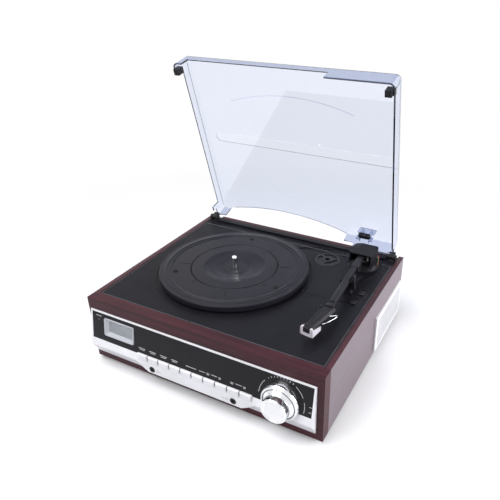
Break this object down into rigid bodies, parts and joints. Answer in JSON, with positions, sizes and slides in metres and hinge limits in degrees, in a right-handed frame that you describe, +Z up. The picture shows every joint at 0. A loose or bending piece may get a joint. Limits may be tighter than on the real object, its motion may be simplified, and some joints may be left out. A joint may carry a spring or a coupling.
{
  "type": "record player",
  "caption": "Tabletop record player and radio in a dark red wood-grain cabinet, white front with display, ten keys and a chrome double knob, hinged clear lid propped open",
  "frame": {"origin": "Centre of the bounding box of the record player with its lid open, at the level of the table", "axes": "X to the right seen from the front, Y from the front panel towards the back, Z up"},
  "size_m": [0.337, 0.3226, 0.3602],
  "materials": {
    "wood_foil": "satin printed foil over board, mahogany red with a fine grain",
    "raw_board": "bare board",
    "foot_rubber": "matte",
    "black_plastic": "fine satin moulding",
    "platter_black": "satin moulding",
    "arm_black": "satin moulding",
    "switch_black": "satin moulding",
    "black_gloss": "polished",
    "white_plastic": "pearl white, semi-gloss",
    "silver_paint": "silver paint, satin",
    "chrome_plate": "bright plating",
    "display_glass": "clear",
    "display_grey": "matt grey-green display",
    "lamp_red": "translucent red",
    "board_green": "lacquered circuit board",
    "plated_steel": "zinc plated",
    "cone_paper": "matt paper cone",
    "bearing_brass": "turned",
    "adapter_grey": "satin",
    "guard_white": "milky",
    "clear_lid": "clear, polished, faintly blue"
  },
  "bodies": {
    "cabinet": {"front_board": "wood_foil", "left_side_board": "wood_foil", "right_side_board": "wood_foil", "rear_board": "wood_foil", "base_board": "raw_board", "rubber_feet": "foot_rubber", "top_deck": "black_plastic", "bezel": "white_plastic", "front_panel": "black_gloss", "display_frame": "silver_paint", "display_window": "display_glass", "display_unit": "display_grey", "power_lamp": "lamp_red", "knob_ring": "chrome_plate", "circuit_boards": "board_green", "controls": "switch_black", "front_jacks": "switch_black", "side_grilles": "white_plastic", "speaker_frames": "plated_steel", "speaker_cones": "cone_paper", "rear_terminals": "black_plastic", "screws": "plated_steel", "spindle": "chrome_plate", "spindle_bearing": "bearing_brass", "drive_motor": "plated_steel", "drive_belt": "foot_rubber", "tonearm_base": "black_plastic", "tonearm_cover": "black_plastic", "arm_rest": "black_plastic", "hinge_brackets": "switch_black"},
    "platter": {"platter": "platter_black", "platter_nubs": "foot_rubber", "platter_bush": "bearing_brass"},
    "motor_pulley": {"motor_pulley": "bearing_brass"},
    "tonearm_yoke": {"tonearm_yoke": "plated_steel"},
    "tonearm": {"arm_tube": "arm_black", "headshell": "arm_black", "finger_lift": "chrome_plate", "cartridge": "switch_black"},
    "stylus_guard": {"stylus_guard": "guard_white"},
    "cue_lever": {"cue_lever": "black_plastic"},
    "lid": {"lid": "clear_lid", "lid_fittings": "switch_black"},
    "volume_knob": {"volume_knob": "chrome_plate"},
    "function_ring": {"function_ring": "silver_paint"},
    "speed_switch": {"speed_switch": "switch_black"},
    "stop_switch": {"stop_switch": "switch_black"},
    "adapter_45": {"adapter_45": "adapter_grey"},
    "key_1": {"key_1": "white_plastic"},
    "key_2": {"key_2": "white_plastic"},
    "key_3": {"key_3": "white_plastic"},
    "key_4": {"key_4": "white_plastic"},
    "key_5": {"key_5": "white_plastic"},
    "key_6": {"key_6": "white_plastic"},
    "key_7": {"key_7": "white_plastic"},
    "key_8": {"key_8": "white_plastic"},
    "key_9": {"key_9": "white_plastic"},
    "key_10": {"key_10": "white_plastic"}
  },
  "joints": [
    {"name": "platter_spin", "type": "hinge", "parent": "cabinet", "child": "platter", "pos_m": [-0.0322, 0.00657, 0.101], "axis": [0, 0, -1], "continuous": true},
    {"name": "pulley_spin", "type": "hinge", "parent": "cabinet", "child": "motor_pulley", "pos_m": [-0.0929, 0.05231, 0.101], "axis": [0, 0, -1], "continuous": true},
    {"name": "tonearm_swing", "type": "hinge", "parent": "cabinet", "child": "tonearm_yoke", "pos_m": [0.1215, 0.10017, 0.105], "axis": [0, 0, -1], "range_deg": [0, 42]},
    {"name": "tonearm_lift", "type": "hinge", "parent": "tonearm_yoke", "child": "tonearm", "pos_m": [0.1215, 0.10017, 0.1196], "axis": [-0.9985, -0.0541, 0], "range_deg": [0, 2.8]},
    {"name": "guard_slide", "type": "slide", "parent": "tonearm", "child": "stylus_guard", "axis": [-0.1374, -0.9905, 0], "range_m": [0, 0.012]},
    {"name": "cue_lever_turn", "type": "hinge", "parent": "cabinet", "child": "cue_lever", "pos_m": [0.1334, 0.03467, 0.1115], "axis": [1, 0, 0], "range_deg": [0, 35]},
    {"name": "lid_hinge", "type": "hinge", "parent": "cabinet", "child": "lid", "pos_m": [0, 0.13427, 0.1022], "axis": [1, 0, 0], "range_deg": [0, 74.4]},
    {"name": "volume_turn", "type": "hinge", "parent": "cabinet", "child": "volume_knob", "pos_m": [0.117, -0.15483, 0.0517], "axis": [0, -1, 0], "range_deg": [-20, 280]},
    {"name": "function_turn", "type": "hinge", "parent": "cabinet", "child": "function_ring", "pos_m": [0.117, -0.14883, 0.0517], "axis": [0, -1, 0], "range_deg": [-15, 75]},
    {"name": "speed_slide", "type": "slide", "parent": "cabinet", "child": "speed_switch", "axis": [0, 1, 0], "range_m": [0, 0.006]},
    {"name": "stop_slide", "type": "slide", "parent": "cabinet", "child": "stop_switch", "axis": [0, 1, 0], "range_m": [0, 0.006]},
    {"name": "adapter_lift", "type": "slide", "parent": "cabinet", "child": "adapter_45", "axis": [0, 0, 1], "range_m": [0, 0.012]},
    {"name": "key_1_press", "type": "slide", "parent": "cabinet", "child": "key_1", "axis": [0, 1, 0], "range_m": [0, 0.0008], "stiffness_N_per_m": 600},
    {"name": "key_2_press", "type": "slide", "parent": "cabinet", "child": "key_2", "axis": [0, 1, 0], "range_m": [0, 0.0008], "stiffness_N_per_m": 600},
    {"name": "key_3_press", "type": "slide", "parent": "cabinet", "child": "key_3", "axis": [0, 1, 0], "range_m": [0, 0.0008], "stiffness_N_per_m": 600},
    {"name": "key_4_press", "type": "slide", "parent": "cabinet", "child": "key_4", "axis": [0, 1, 0], "range_m": [0, 0.0008], "stiffness_N_per_m": 600},
    {"name": "key_5_press", "type": "slide", "parent": "cabinet", "child": "key_5", "axis": [0, 1, 0], "range_m": [0, 0.0008], "stiffness_N_per_m": 600},
    {"name": "key_6_press", "type": "slide", "parent": "cabinet", "child": "key_6", "axis": [0, 1, 0], "range_m": [0, 0.0008], "stiffness_N_per_m": 600},
    {"name": "key_7_press", "type": "slide", "parent": "cabinet", "child": "key_7", "axis": [0, 1, 0], "range_m": [0, 0.0008], "stiffness_N_per_m": 600},
    {"name": "key_8_press", "type": "slide", "parent": "cabinet", "child": "key_8", "axis": [0, 1, 0], "range_m": [0, 0.0008], "stiffness_N_per_m": 600},
    {"name": "key_9_press", "type": "slide", "parent": "cabinet", "child": "key_9", "axis": [0, 1, 0], "range_m": [0, 0.0008], "stiffness_N_per_m": 600},
    {"name": "key_10_press", "type": "slide", "parent": "cabinet", "child": "key_10", "axis": [0, 1, 0], "range_m": [0, 0.0008], "stiffness_N_per_m": 600}
  ],
  "couplings": [
    {"joint": "pulley_spin", "follows": "platter_spin", "ratio": 10},
    {"joint": "cue_lever_turn", "follows": "tonearm_lift", "ratio": 12.5}
  ]
}
